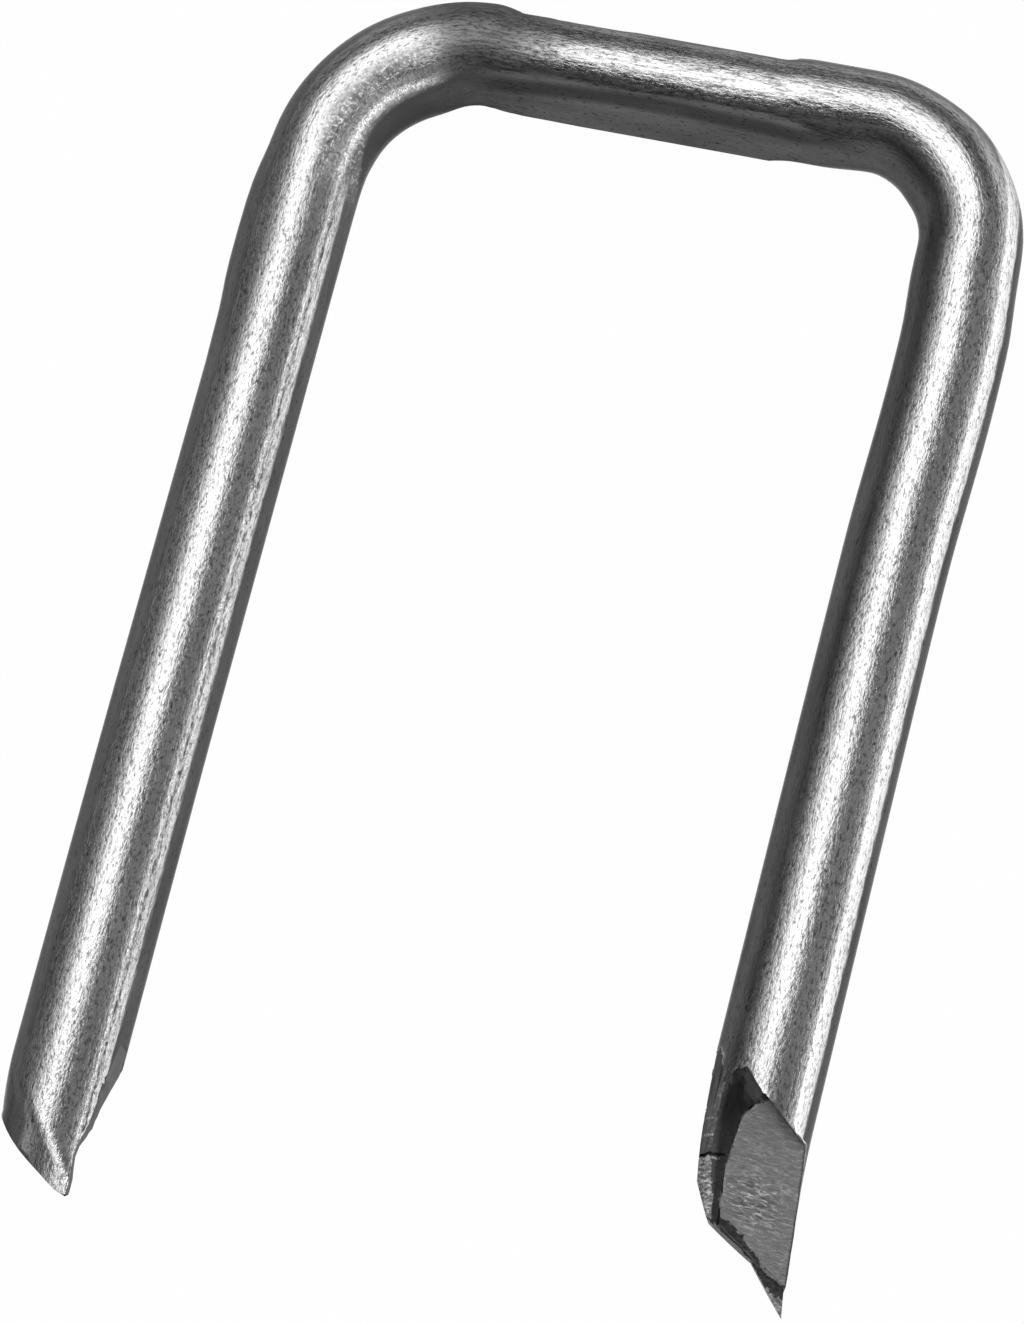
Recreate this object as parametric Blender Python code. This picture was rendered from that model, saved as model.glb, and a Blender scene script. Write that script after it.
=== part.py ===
"""Cable staple, one piece.

A length of round steel wire is sheared off obliquely at both ends, pressed flat on both
sides of its crown and bent into a U. It lies flat, with the bend of the U in the XY plane.
In the plane of the U, q is the distance along the wire's axis from the middle of the crown,
positive towards the right leg. Along each leg, s is the distance from the crown's axis, x is
measured from the leg's axis towards +X, and z is the height above the axis.
"""

import math

import bmesh
import bpy
import numpy as np
from mathutils import Vector

MM = 0.001

# Wire and overall form
WIRE_DIAMETER = 2.69 * MM
LEG_GAP = 14.55 * MM
LEG_REACH = 31.8 * MM
RIGHT_LEG_SHORTER_BY = 1.3 * MM
TOE_IN = math.radians(0.5)
LEFT_BEND_RADIUS = 3.7 * MM
RIGHT_BEND_RADIUS = 3.12 * MM

# Flat that the driver pressed on the outer side of the crown, each end measured from the bend
STRIKE_DEPTH = 0.265 * MM
STRIKE_FROM_LEFT_BEND = 0.77 * MM
STRIKE_FROM_RIGHT_BEND = 2.47 * MM
STRIKE_RAMP_LEFT = 0.6 * MM
STRIKE_RAMP_RIGHT = 0.3 * MM
LEFT_SHOULDER_RISE = 0.1 * MM
LEFT_SHOULDER_RAMP = 0.7 * MM
LEFT_SHOULDER_RUN_OUT = 2.0 * MM
RIGHT_SHOULDER_RISE = 0.1 * MM
RIGHT_SHOULDER_RAMP = 0.4 * MM
RIGHT_SHOULDER_RUN_OUT = 1.4 * MM

# Seat that the anvil pressed on the inner side of the crown, turned a little to the front
SEAT_DEPTH = 0.415 * MM
SEAT_TILT = math.radians(11.0)
SEAT_FROM_LEFT_BEND = 1.4 * MM
SEAT_FROM_RIGHT_BEND = 2.87 * MM
SEAT_RUN_OUT_LEFT = 3.3 * MM
SEAT_RUN_OUT_RIGHT = 2.8 * MM
CROWN_SWELL = 0.035
SWELL_CENTRE = 0.4 * MM
SWELL_HALF = 1.4 * MM
SWELL_RUN_OUT = 2.3 * MM

# Steel upset against the mandrel inside the left bend
MANDREL_UPSET = 0.055 * MM
MANDREL_SQUARENESS = 0.55
MANDREL_FROM_CROWN = 1.5 * MM
MANDREL_FROM_LEG = 0.7 * MM
MANDREL_RUN_OUT = 1.6 * MM

# Thinning of the wire's outer side round each bend, and of its inner side where the right one
# begins, each window given as shares of the bend
OUTER_THINNING = 0.075 * MM
OUTER_THINNED = (0.7, 0.9)
OUTER_THINNED_RUN = 0.35
INNER_THINNING = 0.13 * MM
INNER_THINNED = (0.05, 0.2)
INNER_THINNED_RUN = 0.3

# Tool marks on the outer side of the legs, just below the bends
LEFT_BULGE = 0.15 * MM
LEFT_BULGE_START = 4.9 * MM
LEFT_BULGE_END = 7.7 * MM
LEFT_BULGE_RUN_IN = 1.2 * MM
LEFT_BULGE_RUN_OUT = 0.5 * MM
RIGHT_BULGE = 0.06 * MM
RIGHT_BULGE_START = 3.0 * MM
RIGHT_BULGE_END = 8.0 * MM
RIGHT_BULGE_RUN_IN = 2.5 * MM
RIGHT_BULGE_RUN_OUT = 6.0 * MM
RIGHT_BOW = 0.12 * MM
RIGHT_BOW_START = 5.4 * MM
RIGHT_BOW_END = 6.6 * MM
RIGHT_BOW_RUN_IN = 1.6 * MM
RIGHT_BOW_RUN_OUT = 5.0 * MM

# Oblique shear of the right point, where x is across the leg and t runs along it from the lip
RIGHT_CUT_LENGTH = 4.95 * MM
SHEAR_SLOPE = 0.75
SCOOP_LIP_SLOPE = 1.05
SCOOP_CORNER_X = -0.38 * MM
SCOOP_CORNER_WIDTH = 0.67 * MM
SCOOP_CORNER_RUN = 1.2 * MM
SCOOP_DEPTH = 0.42 * MM
SCOOP_LIP_RUN = 0.35 * MM
SCOOP_FALL = 0.2
SCOOP_SIDE_START = 0.6 * MM
SCOOP_SIDE_END = 1.3 * MM
SCOOP_SIDE_SHALLOWER = 0.3
SCOOP_ROLL = 0.072 / MM
SCOOP_CLEAR = 0.04 * MM

# Torn face beside the scoop, and its ragged left edge
TORN_DEPTH_AT_LIP = 0.226 * MM
TEAR_FALL_ACROSS = 0.39
TEAR_FALL_ALONG = 0.27
TORN_TOP_X = 0.17 * MM
TORN_CORNER_X = -0.285 * MM
TORN_CORNER_T = 0.91 * MM
TORN_LOW_X = -0.46 * MM
TORN_LOW_T = 2.2 * MM
TORN_EDGE_HALF_WIDTH = 0.04 * MM

# Step below the torn face, and the thin flap of the tip that was splayed outward
TORN_END_SLOPE = 0.56
TORN_END_T = 3.458 * MM
STEP_RUN = 0.15 * MM
STEP_DROP = 0.15 * MM
FLAP_FALL = 0.05
SPLAY_LENGTH = 4.5 * MM
SPLAY_AT_TIP = 0.42 * MM

# Oblique wall that ends the right point, in three facets
WALL_SET_BACK = 1.96 * MM
HEEL_X = -0.8 * MM
HEEL_SLOPE = 2.2
WALL_SLOPE = 0.6
NOSE_X = 0.3 * MM
NOSE_SLOPE = 1.39
WALL_UNDERCUT = 0.01

# Oblique shear of the left point, its torn face turned to the back
LEFT_LIP_SET_BACK = 0.71 * MM
LEFT_LIP_SLOPE = 0.67
LEFT_LIP_CURVE = 0.25 / MM
LEFT_NOSE_X = 0.95 * MM
LEFT_NOSE_SLOPE = 1.2
LEFT_LIP_THICKNESS = 0.15 * MM
LEFT_TEAR_DEPTH_AT_LIP = 0.31 * MM
LEFT_TEAR_RISE_ACROSS = 0.5
LEFT_TEAR_FALL_ALONG = 0.52
LEFT_TEAR_LENGTH = 5.4 * MM
LEFT_TIP_DRIFT = 0.07 * MM
LEFT_DRIFT_LENGTH = 12.0 * MM
LEFT_ROLL = 0.155 * MM
LEFT_ROLL_START = 3.5 * MM
LEFT_ROLL_LENGTH = 1.6 * MM
LEFT_ROLL_STEP = 0.4 * MM

# Narrow flat wiped on the inner side of the left point
WIPED_LENGTH = 4.4 * MM
WIPED_SLOPE = 0.077
WIPED_CURVE = 0.0056 / MM
WIPED_TILT = 0.1
WIPED_DIP = 0.08 * MM
WIPED_DIP_BACK = 1.2 * MM
WIPED_DIP_RUN = 0.8 * MM

# Mesh density, and how far the cutters stand clear
SIDES = 40
CROWN_STEP = 0.45 * MM
BEND_STEPS = 14
LEG_STEP = 0.7 * MM
PLAIN_LEG_STEP = 4.0 * MM
FINE_LEG_LENGTH = 9.0 * MM
LEAST_STEP = 0.12 * MM
SPARE_LENGTH = 1.0 * MM
CUTTER_MARGIN = 1.2 * MM
CUTTER_SIDE = 0.15 * MM
TORN_COLUMNS = 14
COLUMN_GAP = 0.001
LIP_ROWS = (-0.02 * MM, 0.0, 0.06 * MM, 0.14 * MM, 0.26 * MM, 0.42 * MM, 0.63 * MM)
TEAR_ROW = 0.17 * MM
END_COLUMNS = 13
LEFT_TEAR_ROWS = 20

RADIUS = WIRE_DIAMETER / 2
CROWN_HALF = LEG_GAP / 2 + RADIUS
BEND_ANGLE = math.pi / 2 + TOE_IN
RIGHT_REACH = LEG_REACH - RIGHT_LEG_SHORTER_BY
RIGHT_LIP_REACH = RIGHT_REACH - RIGHT_CUT_LENGTH
LEFT_LIP_REACH = LEG_REACH - LEFT_LIP_SET_BACK


def clear_scene():
    for old in list(bpy.data.objects):
        bpy.data.objects.remove(old, do_unlink=True)


def smooth_step(value, start, end):
    """0 before start, 1 after end, with a smooth rise between them."""
    share = min(1.0, max(0.0, (value - start) / (end - start)))
    return share * share * (3 - 2 * share)


def window(value, low, high, low_run, high_run):
    """1 between low and high, falling smoothly to 0 over the run outside each."""
    rise = smooth_step(value, low - low_run, low)
    return rise * (1 - smooth_step(value, high, high + high_run))


def bend_radius(side):
    return RIGHT_BEND_RADIUS if side > 0 else LEFT_BEND_RADIUS


def tangent_length(side):
    """Distance from the corner of the two axes to either end of the bend."""
    return bend_radius(side) * math.tan(BEND_ANGLE / 2)


def crown_end(side):
    """q, without its sign, where the crown's straight ends and the bend begins."""
    return CROWN_HALF - tangent_length(side)


def leg_start(side):
    """q, without its sign, where the bend ends and the leg begins."""
    return crown_end(side) + bend_radius(side) * BEND_ANGLE


def q_of_leg(s, side):
    """q at distance s down the leg on this side."""
    return side * (leg_start(side) + s - tangent_length(side))


def axis_frame(q):
    """Point on the wire's axis and the unit vector that points out of the U there."""
    side = 1 if q >= 0 else -1
    along = abs(q)
    radius = bend_radius(side)
    if along <= crown_end(side):
        return Vector((q, 0, 0)), Vector((0, 1, 0))
    turned = min((along - crown_end(side)) / radius, BEND_ANGLE)
    outward = Vector((side * math.sin(turned), math.cos(turned), 0))
    centre = Vector((side * crown_end(side), -radius, 0))
    point = centre + radius * outward
    past = max(0.0, along - leg_start(side))
    down = Vector((outward.y * side, -abs(outward.x), 0))
    return point + past * down, outward


def splay(s):
    """How far the right point was pushed outward by the shear."""
    past = max(0.0, s - (RIGHT_REACH - SPLAY_LENGTH))
    return SPLAY_AT_TIP * (past / SPLAY_LENGTH) ** 2


def drift(s):
    """How far the left leg leans in towards its point, beyond the toe-in."""
    past = max(0.0, s - (LEG_REACH - LEFT_DRIFT_LENGTH))
    return LEFT_TIP_DRIFT * past / LEFT_DRIFT_LENGTH


def strike_ends():
    """q of the left and right ends of the flat on the crown."""
    return STRIKE_FROM_LEFT_BEND - crown_end(-1), crown_end(1) - STRIKE_FROM_RIGHT_BEND


def axis_shift(q):
    """How far the wire's axis stands outward of its ideal line."""
    side = 1 if q >= 0 else -1
    s = abs(q) - leg_start(side) + tangent_length(side)
    left_end, right_end = strike_ends()
    if side > 0:
        ramp = RIGHT_SHOULDER_RAMP
        raised = window(q, right_end + ramp, crown_end(1), ramp, RIGHT_SHOULDER_RUN_OUT)
        bowed = window(s, RIGHT_BOW_START, RIGHT_BOW_END, RIGHT_BOW_RUN_IN, RIGHT_BOW_RUN_OUT)
        return RIGHT_SHOULDER_RISE * raised + RIGHT_BOW * bowed + splay(s)
    ramp = LEFT_SHOULDER_RAMP
    raised = window(-q, ramp - left_end, crown_end(-1), ramp, LEFT_SHOULDER_RUN_OUT)
    return LEFT_SHOULDER_RISE * raised - drift(s)


def press_strike_flat(q, out):
    """Limits the outer side of the crown to the flat that the driver left."""
    left_end, right_end = strike_ends()
    pressed = window(q, left_end, right_end, STRIKE_RAMP_LEFT, STRIKE_RAMP_RIGHT)
    clear_of_wire = 2 * RADIUS
    return min(out, clear_of_wire + (RADIUS - STRIKE_DEPTH - clear_of_wire) * pressed)


def press_seat(q, out, up):
    """Limits the inner side of the crown to the tilted seat that the anvil left."""
    left_end = SEAT_FROM_LEFT_BEND - crown_end(-1)
    right_end = crown_end(1) - SEAT_FROM_RIGHT_BEND
    pressed = window(q, left_end, right_end, SEAT_RUN_OUT_LEFT, SEAT_RUN_OUT_RIGHT)
    clear_of_wire = (1 + 2 * CROWN_SWELL) * RADIUS
    reach = clear_of_wire + (RADIUS - SEAT_DEPTH - clear_of_wire) * pressed
    limit = -(reach - up * math.sin(SEAT_TILT)) / math.cos(SEAT_TILT)
    return max(out, limit)


def upset_on_mandrel(q, out):
    """Squares and fills the inner side of the left bend, where it lay on the mandrel."""
    start = crown_end(-1) + MANDREL_FROM_CROWN
    end = leg_start(-1) - MANDREL_FROM_LEG
    pressed = window(-q, start, end, MANDREL_RUN_OUT, MANDREL_RUN_OUT)
    if out >= 0 or pressed == 0:
        return out
    reach = RADIUS + MANDREL_UPSET * pressed
    return -reach * (-out / RADIUS) ** (1 - MANDREL_SQUARENESS * pressed)


def bend_thinning(q, out):
    """How much thinner the wire is round a bend, on the side where out lies."""
    side = 1 if q >= 0 else -1
    share = (abs(q) - crown_end(side)) / (bend_radius(side) * BEND_ANGLE)
    if out > 0:
        return OUTER_THINNING * window(share, *OUTER_THINNED, OUTER_THINNED_RUN, OUTER_THINNED_RUN)
    if side < 0:
        return 0.0
    return INNER_THINNING * window(share, *INNER_THINNED, INNER_THINNED_RUN, INNER_THINNED_RUN)


def edge_roll(s):
    """How far the shear rolled in the outer edge of the left point."""
    past = min(LEFT_ROLL_LENGTH, max(0.0, s - (LEG_REACH - LEFT_ROLL_START)))
    return LEFT_ROLL * (past / LEFT_ROLL_LENGTH) ** 2


def leg_bulge(side, s):
    """Height of the tool mark that stands on the outer side of the leg."""
    if side > 0:
        spread = (RIGHT_BULGE_START, RIGHT_BULGE_END, RIGHT_BULGE_RUN_IN, RIGHT_BULGE_RUN_OUT)
        return RIGHT_BULGE * window(s, *spread)
    spread = (LEFT_BULGE_START, LEFT_BULGE_END, LEFT_BULGE_RUN_IN, LEFT_BULGE_RUN_OUT)
    return LEFT_BULGE * window(s, *spread)


def crown_swell(q):
    """How much wider the pressed crown is than the round wire, as a factor."""
    low = SWELL_CENTRE - SWELL_HALF
    high = SWELL_CENTRE + SWELL_HALF
    return 1 + CROWN_SWELL * window(q, low, high, SWELL_RUN_OUT, SWELL_RUN_OUT)


def section_point(q, angle):
    """(outward, up) of the wire's surface at this angle round its section."""
    side = 1 if q >= 0 else -1
    s = abs(q) - leg_start(side) + tangent_length(side)
    out = RADIUS * math.cos(angle)
    up = RADIUS * math.sin(angle)
    share = (out / RADIUS) ** 2
    if side < 0:
        out = upset_on_mandrel(q, out)
    if out > 0:
        out += leg_bulge(side, s) * share
        if side < 0:
            out -= edge_roll(s) * share
    out -= math.copysign(bend_thinning(q, out), out) * share
    out = press_seat(q, out * crown_swell(q), up)
    return press_strike_flat(q, out), up


def leg_steps(side):
    """Distances of the rings past the bend: close below the bend, wide along the plain leg."""
    last = LEG_REACH - tangent_length(side) + SPARE_LENGTH
    near = np.arange(LEG_STEP, FINE_LEG_LENGTH, LEG_STEP)
    far = np.arange(FINE_LEG_LENGTH + LEG_STEP, last - LEG_STEP, PLAIN_LEG_STEP)
    if side > 0:
        splay_start = RIGHT_REACH - SPLAY_LENGTH - tangent_length(1)
        far = far[far < splay_start]
        far = np.concatenate([far, np.arange(splay_start, last - LEG_STEP, LEG_STEP)])
    else:
        roll_start = LEG_REACH - LEFT_ROLL_START - tangent_length(-1)
        far = far[far < roll_start]
        far = np.concatenate([far, np.arange(roll_start, last - LEFT_ROLL_STEP, LEFT_ROLL_STEP)])
    return np.concatenate([near, far, [last]])


def ring_stations():
    """q of every ring, from the left point to the right one."""
    stations = []
    for side in (-1, 1):
        stations += [side * (leg_start(side) + step) for step in leg_steps(side)]
        turn = np.linspace(0, BEND_ANGLE, BEND_STEPS + 1)
        stations += [side * (crown_end(side) + bend_radius(side) * t) for t in turn]
    stations += list(np.arange(CROWN_STEP - crown_end(-1), crown_end(1) - LEAST_STEP, CROWN_STEP))
    left_end, right_end = strike_ends()
    for edge, run in ((left_end, -STRIKE_RAMP_LEFT), (right_end, STRIKE_RAMP_RIGHT)):
        stations += [edge + run * share for share in np.linspace(0, 1, 4)]
    tidy = []
    for q in sorted(stations):
        if not tidy or q - tidy[-1] > LEAST_STEP:
            tidy.append(float(q))
    return tidy


def sweep_wire():
    """The bent and pressed wire, a little longer than it will be once sheared."""
    mesh = bmesh.new()
    rings = []
    for q in ring_stations():
        point, outward = axis_frame(q)
        base = point + outward * axis_shift(q)
        ring = []
        for k in range(SIDES):
            out, up = section_point(q, 2 * math.pi * k / SIDES)
            ring.append(mesh.verts.new(base + outward * out + Vector((0, 0, up))))
        rings.append(ring)
    for first, second in zip(rings, rings[1:]):
        for k in range(SIDES):
            after = (k + 1) % SIDES
            mesh.faces.new((first[k], first[after], second[after], second[k]))
    mesh.faces.new(rings[0])
    mesh.faces.new(rings[-1])
    bmesh.ops.recalc_face_normals(mesh, faces=mesh.faces)
    return object_from(mesh, "staple")


def object_from(mesh, name):
    data = bpy.data.meshes.new(name)
    mesh.to_mesh(data)
    mesh.free()
    made = bpy.data.objects.new(name, data)
    bpy.context.scene.collection.objects.link(made)
    return made


def leg_point(side, x, s, z):
    """World position of a point given in the leg's own x, s and z."""
    point, outward = axis_frame(q_of_leg(s, side))
    return point + outward * (side * x) + Vector((0, 0, z))


def block_between(name, side, columns, rows, near, far):
    """Closed block over a grid of (x, t), from the surface near(x, t) to the surface far(x, t).

    Both surfaces give a point in the leg's own (x, s, z).
    """
    mesh = bmesh.new()
    layers = []
    for surface in (near, far):
        spots = [[surface(float(x), float(t)) for x in columns] for t in rows]
        layers.append([[mesh.verts.new(leg_point(side, *spot)) for spot in row] for row in spots])
    for layer in layers:
        for first, second in zip(layer, layer[1:]):
            for k in range(len(columns) - 1):
                mesh.faces.new((first[k], first[k + 1], second[k + 1], second[k]))
    for row in range(len(rows) - 1):
        for k in (0, -1):
            a, b = layers[0][row][k], layers[0][row + 1][k]
            mesh.faces.new((a, b, layers[1][row + 1][k], layers[1][row][k]))
    for k in range(len(columns) - 1):
        for row in (0, -1):
            a, b = layers[0][row][k], layers[0][row][k + 1]
            mesh.faces.new((a, b, layers[1][row][k + 1], layers[1][row][k]))
    bmesh.ops.recalc_face_normals(mesh, faces=mesh.faces)
    return object_from(mesh, name)


def front_height(x):
    """Height of the round wire's front surface at x."""
    return math.sqrt(RADIUS**2 - min(abs(x), RADIUS) ** 2)


def right_lip_line(x):
    """s where the blade bit into the front of the right leg."""
    if x > TORN_TOP_X:
        return RIGHT_LIP_REACH + SHEAR_SLOPE * x
    lip = RIGHT_LIP_REACH + SHEAR_SLOPE * TORN_TOP_X
    lip += SCOOP_LIP_SLOPE * (max(x, SCOOP_CORNER_X) - TORN_TOP_X)
    return lip + SHEAR_SLOPE * min(0.0, x - SCOOP_CORNER_X)


def torn_end_line(x):
    """s where the torn face of the right point ends."""
    return RIGHT_REACH - WALL_SET_BACK + TORN_END_SLOPE * (x - HEEL_X)


def right_cut_s(x, t):
    """s at t past the lip line; the rows turn until t = TORN_END_T lies on the torn face's end."""
    turned = min(1.0, max(0.0, t / TORN_END_T))
    straight = torn_end_line(x) - TORN_END_T
    return right_lip_line(x) * (1 - turned) + straight * turned + t


def torn_edge(t):
    """x of the edge between the scoop and the torn face."""
    stations = (0.0, TORN_CORNER_T, TORN_LOW_T)
    return float(np.interp(t, stations, (TORN_TOP_X, TORN_CORNER_X, TORN_LOW_X)))


def torn_height(x, s):
    """Torn face of the right point, then the step and the flap below it."""
    end = torn_end_line(x)
    fall = TEAR_FALL_ACROSS * x + TEAR_FALL_ALONG * (min(s, end) - RIGHT_LIP_REACH)
    past = max(0.0, s - end)
    fall += STEP_DROP * min(1.0, past / STEP_RUN) + FLAP_FALL * past
    return RADIUS - TORN_DEPTH_AT_LIP - fall


def scoop_start(x):
    """t where the scoop begins, which rounds its upper corner."""
    over = min(1.0, max(0.0, (SCOOP_CORNER_X - x) / SCOOP_CORNER_WIDTH))
    return SHEAR_SLOPE * over * SCOOP_CORNER_WIDTH + SCOOP_CORNER_RUN * (1 - math.sqrt(1 - over**2))


def scoop_height(x, t):
    """Smooth burnished scoop that the blade left before the steel tore."""
    side = smooth_step(-x, SCOOP_SIDE_START, SCOOP_SIDE_END)
    past = max(0.0, t - scoop_start(x) * (1 - side))
    bite = 1 - math.exp(-past / SCOOP_LIP_RUN)
    depth = (SCOOP_DEPTH + SCOOP_CLEAR) * bite - SCOOP_CLEAR + SCOOP_FALL * past
    return front_height(x) - depth * (1 - SCOOP_SIDE_SHALLOWER * side) - SCOOP_ROLL * t * t * side


def right_cut_surface(column, t):
    """Cut face of the right point: scoop for columns below 0, torn face for those above.

    Column -1 is the wire's left side, and column 1 its right side.
    """
    reach = RADIUS + CUTTER_SIDE
    share = (abs(column) - COLUMN_GAP) / (1 - COLUMN_GAP)
    if column < 0:
        start = torn_edge(t) - TORN_EDGE_HALF_WIDTH
        x = start - share * (start + reach)
    else:
        start = torn_edge(t) + TORN_EDGE_HALF_WIDTH
        x = start + share * (reach - start)
    s = right_cut_s(x, t)
    if t < 0:
        return x + splay(s), s, RADIUS + CUTTER_SIDE
    height = scoop_height(x, t) if column < 0 else torn_height(x, s)
    return x + splay(s), s, height


def above(surface):
    """The same surface, moved clear above the wire."""

    def lifted(column, t):
        over = surface(column, t)
        return over[0], over[1], RADIUS + CUTTER_MARGIN

    return lifted


def right_cut_block():
    columns = np.linspace(COLUMN_GAP, 1, TORN_COLUMNS)
    columns = np.concatenate([-columns[::-1], columns])
    last = LEG_REACH + 2 * SPARE_LENGTH - RIGHT_LIP_REACH + SHEAR_SLOPE * (RADIUS + CUTTER_MARGIN)
    rows = list(LIP_ROWS) + list(np.arange(LIP_ROWS[-1] + TEAR_ROW, last, TEAR_ROW))
    step_rows = (TORN_END_T, TORN_END_T + STEP_RUN)
    rows = [t for t in rows if min(abs(t - edge) for edge in step_rows) > TEAR_ROW / 3]
    rows = sorted(rows + list(step_rows))
    return block_between("right_shear", 1, columns, rows, right_cut_surface, above(right_cut_surface))


def right_end_line(x):
    """s of the oblique wall that ends the right point."""
    wall_start = RIGHT_REACH - WALL_SET_BACK
    if x < HEEL_X:
        return wall_start + HEEL_SLOPE * (x - HEEL_X)
    wall_end = wall_start + WALL_SLOPE * (min(x, NOSE_X) - HEEL_X)
    return wall_end + NOSE_SLOPE * max(0.0, x - NOSE_X)


def right_end_block():
    """Everything past the oblique end of the right point."""

    def end_face(x, z):
        s = right_end_line(x) + WALL_UNDERCUT * (z + RADIUS)
        return x + splay(s), s, z

    def beyond(x, z):
        return x, LEG_REACH + SPARE_LENGTH + CUTTER_MARGIN, z

    reach = RADIUS + 2 * CUTTER_SIDE
    columns = np.linspace(-reach, reach + SPLAY_AT_TIP, END_COLUMNS)
    columns = sorted(list(columns) + [HEEL_X, NOSE_X])
    heights = np.linspace(-reach, reach, 5)
    return block_between("right_end", 1, columns, heights, end_face, beyond)


def left_lip_line(x):
    """s of the left point's oblique end, without the blunted nose."""
    return LEFT_LIP_REACH + LEFT_LIP_SLOPE * x - LEFT_LIP_CURVE * min(x, 0.0) ** 2


def left_end_line(x):
    """s of the left point's oblique end, with its nose blunted."""
    return left_lip_line(x) - (LEFT_LIP_SLOPE + LEFT_NOSE_SLOPE) * max(0.0, x - LEFT_NOSE_X)


def left_tear_surface(x, t):
    """Torn face at the back of the left point, hidden in front by the wire's own surface."""
    fall = LEFT_TEAR_FALL_ALONG * t - LEFT_TEAR_RISE_ACROSS * x
    height = RADIUS - LEFT_TEAR_DEPTH_AT_LIP - fall
    s = left_lip_line(x) - t
    return x + drift(s), s, min(height, front_height(x) - LEFT_LIP_THICKNESS)


def left_tear_block():
    def below(x, t):
        s = left_lip_line(x) - t
        return x + drift(s), s, -RADIUS - 2 * CUTTER_MARGIN

    reach = RADIUS + CUTTER_SIDE
    columns = np.linspace(-reach, reach, END_COLUMNS)
    rows = np.linspace(-SPARE_LENGTH / 2, LEFT_TEAR_LENGTH, LEFT_TEAR_ROWS)
    return block_between("left_tear", -1, columns, rows, left_tear_surface, below)


def left_end_block():
    """Everything past the oblique end of the left point."""

    def end_face(x, z):
        s = left_end_line(x)
        return x + drift(s), s, z

    def beyond(x, z):
        return x, LEG_REACH + SPARE_LENGTH + 2 * CUTTER_MARGIN, z

    reach = RADIUS + CUTTER_SIDE
    columns = np.linspace(-reach, reach, END_COLUMNS)
    heights = np.linspace(-reach, reach, 3)
    return block_between("left_end", -1, columns, heights, end_face, beyond)


def left_side_block():
    """Narrow flat that the die wiped on the inner side of the left point."""

    def wiped(s, z):
        past = s - (LEG_REACH - WIPED_LENGTH)
        width = RADIUS - WIPED_SLOPE * past + WIPED_CURVE * past**2
        dip_centre = LEG_REACH - WIPED_DIP_BACK
        width -= WIPED_DIP * window(s, dip_centre, dip_centre, WIPED_DIP_RUN, WIPED_DIP_RUN)
        return width - WIPED_TILT * z + drift(s), s, z

    def beyond(s, z):
        return RADIUS + CUTTER_MARGIN, s, z

    start = LEG_REACH - WIPED_LENGTH - CUTTER_MARGIN
    columns = np.linspace(start, LEG_REACH + SPARE_LENGTH, 2 * END_COLUMNS)
    heights = np.linspace(-2 * RADIUS, 2 * RADIUS, 3)
    return block_between("left_side", -1, columns, heights, wiped, beyond)


def cut_away(body, cutter):
    cutter.hide_render = True
    cutter.display_type = "WIRE"
    cut = body.modifiers.new(cutter.name, "BOOLEAN")
    cut.operation = "DIFFERENCE"
    cut.solver = "EXACT"
    cut.object = cutter


def steel():
    material = bpy.data.materials.new("bright_steel_wire")
    material.use_nodes = True
    shader = material.node_tree.nodes["Principled BSDF"]
    shader.inputs["Base Color"].default_value = (0.33, 0.33, 0.33, 1)
    shader.inputs["Metallic"].default_value = 1.0
    shader.inputs["Roughness"].default_value = 0.35
    return material


def rest_on_base(body):
    """Moves the finished piece so that its base centre is at the origin."""
    bpy.context.view_layer.update()
    shape = body.evaluated_get(bpy.context.evaluated_depsgraph_get())
    corners = [shape.matrix_world @ Vector(corner) for corner in shape.bound_box]
    low = Vector(min(corner[k] for corner in corners) for k in range(3))
    high = Vector(max(corner[k] for corner in corners) for k in range(3))
    middle = (low + high) / 2
    shift = Vector((-middle.x, -middle.y, -low.z))
    for item in bpy.context.scene.objects:
        item.location += shift


def build():
    clear_scene()
    staple = sweep_wire()
    for cutter in (
        left_side_block(),
        right_cut_block(),
        right_end_block(),
        left_tear_block(),
        left_end_block(),
    ):
        cut_away(staple, cutter)
    staple.data.materials.append(steel())
    staple.data.shade_smooth()
    staple.data.set_sharp_from_angle(angle=math.radians(30))
    rest_on_base(staple)


build()
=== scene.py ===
import math

import bmesh
import bpy
import numpy as np
from mathutils import Matrix, Vector, kdtree, noise


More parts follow.
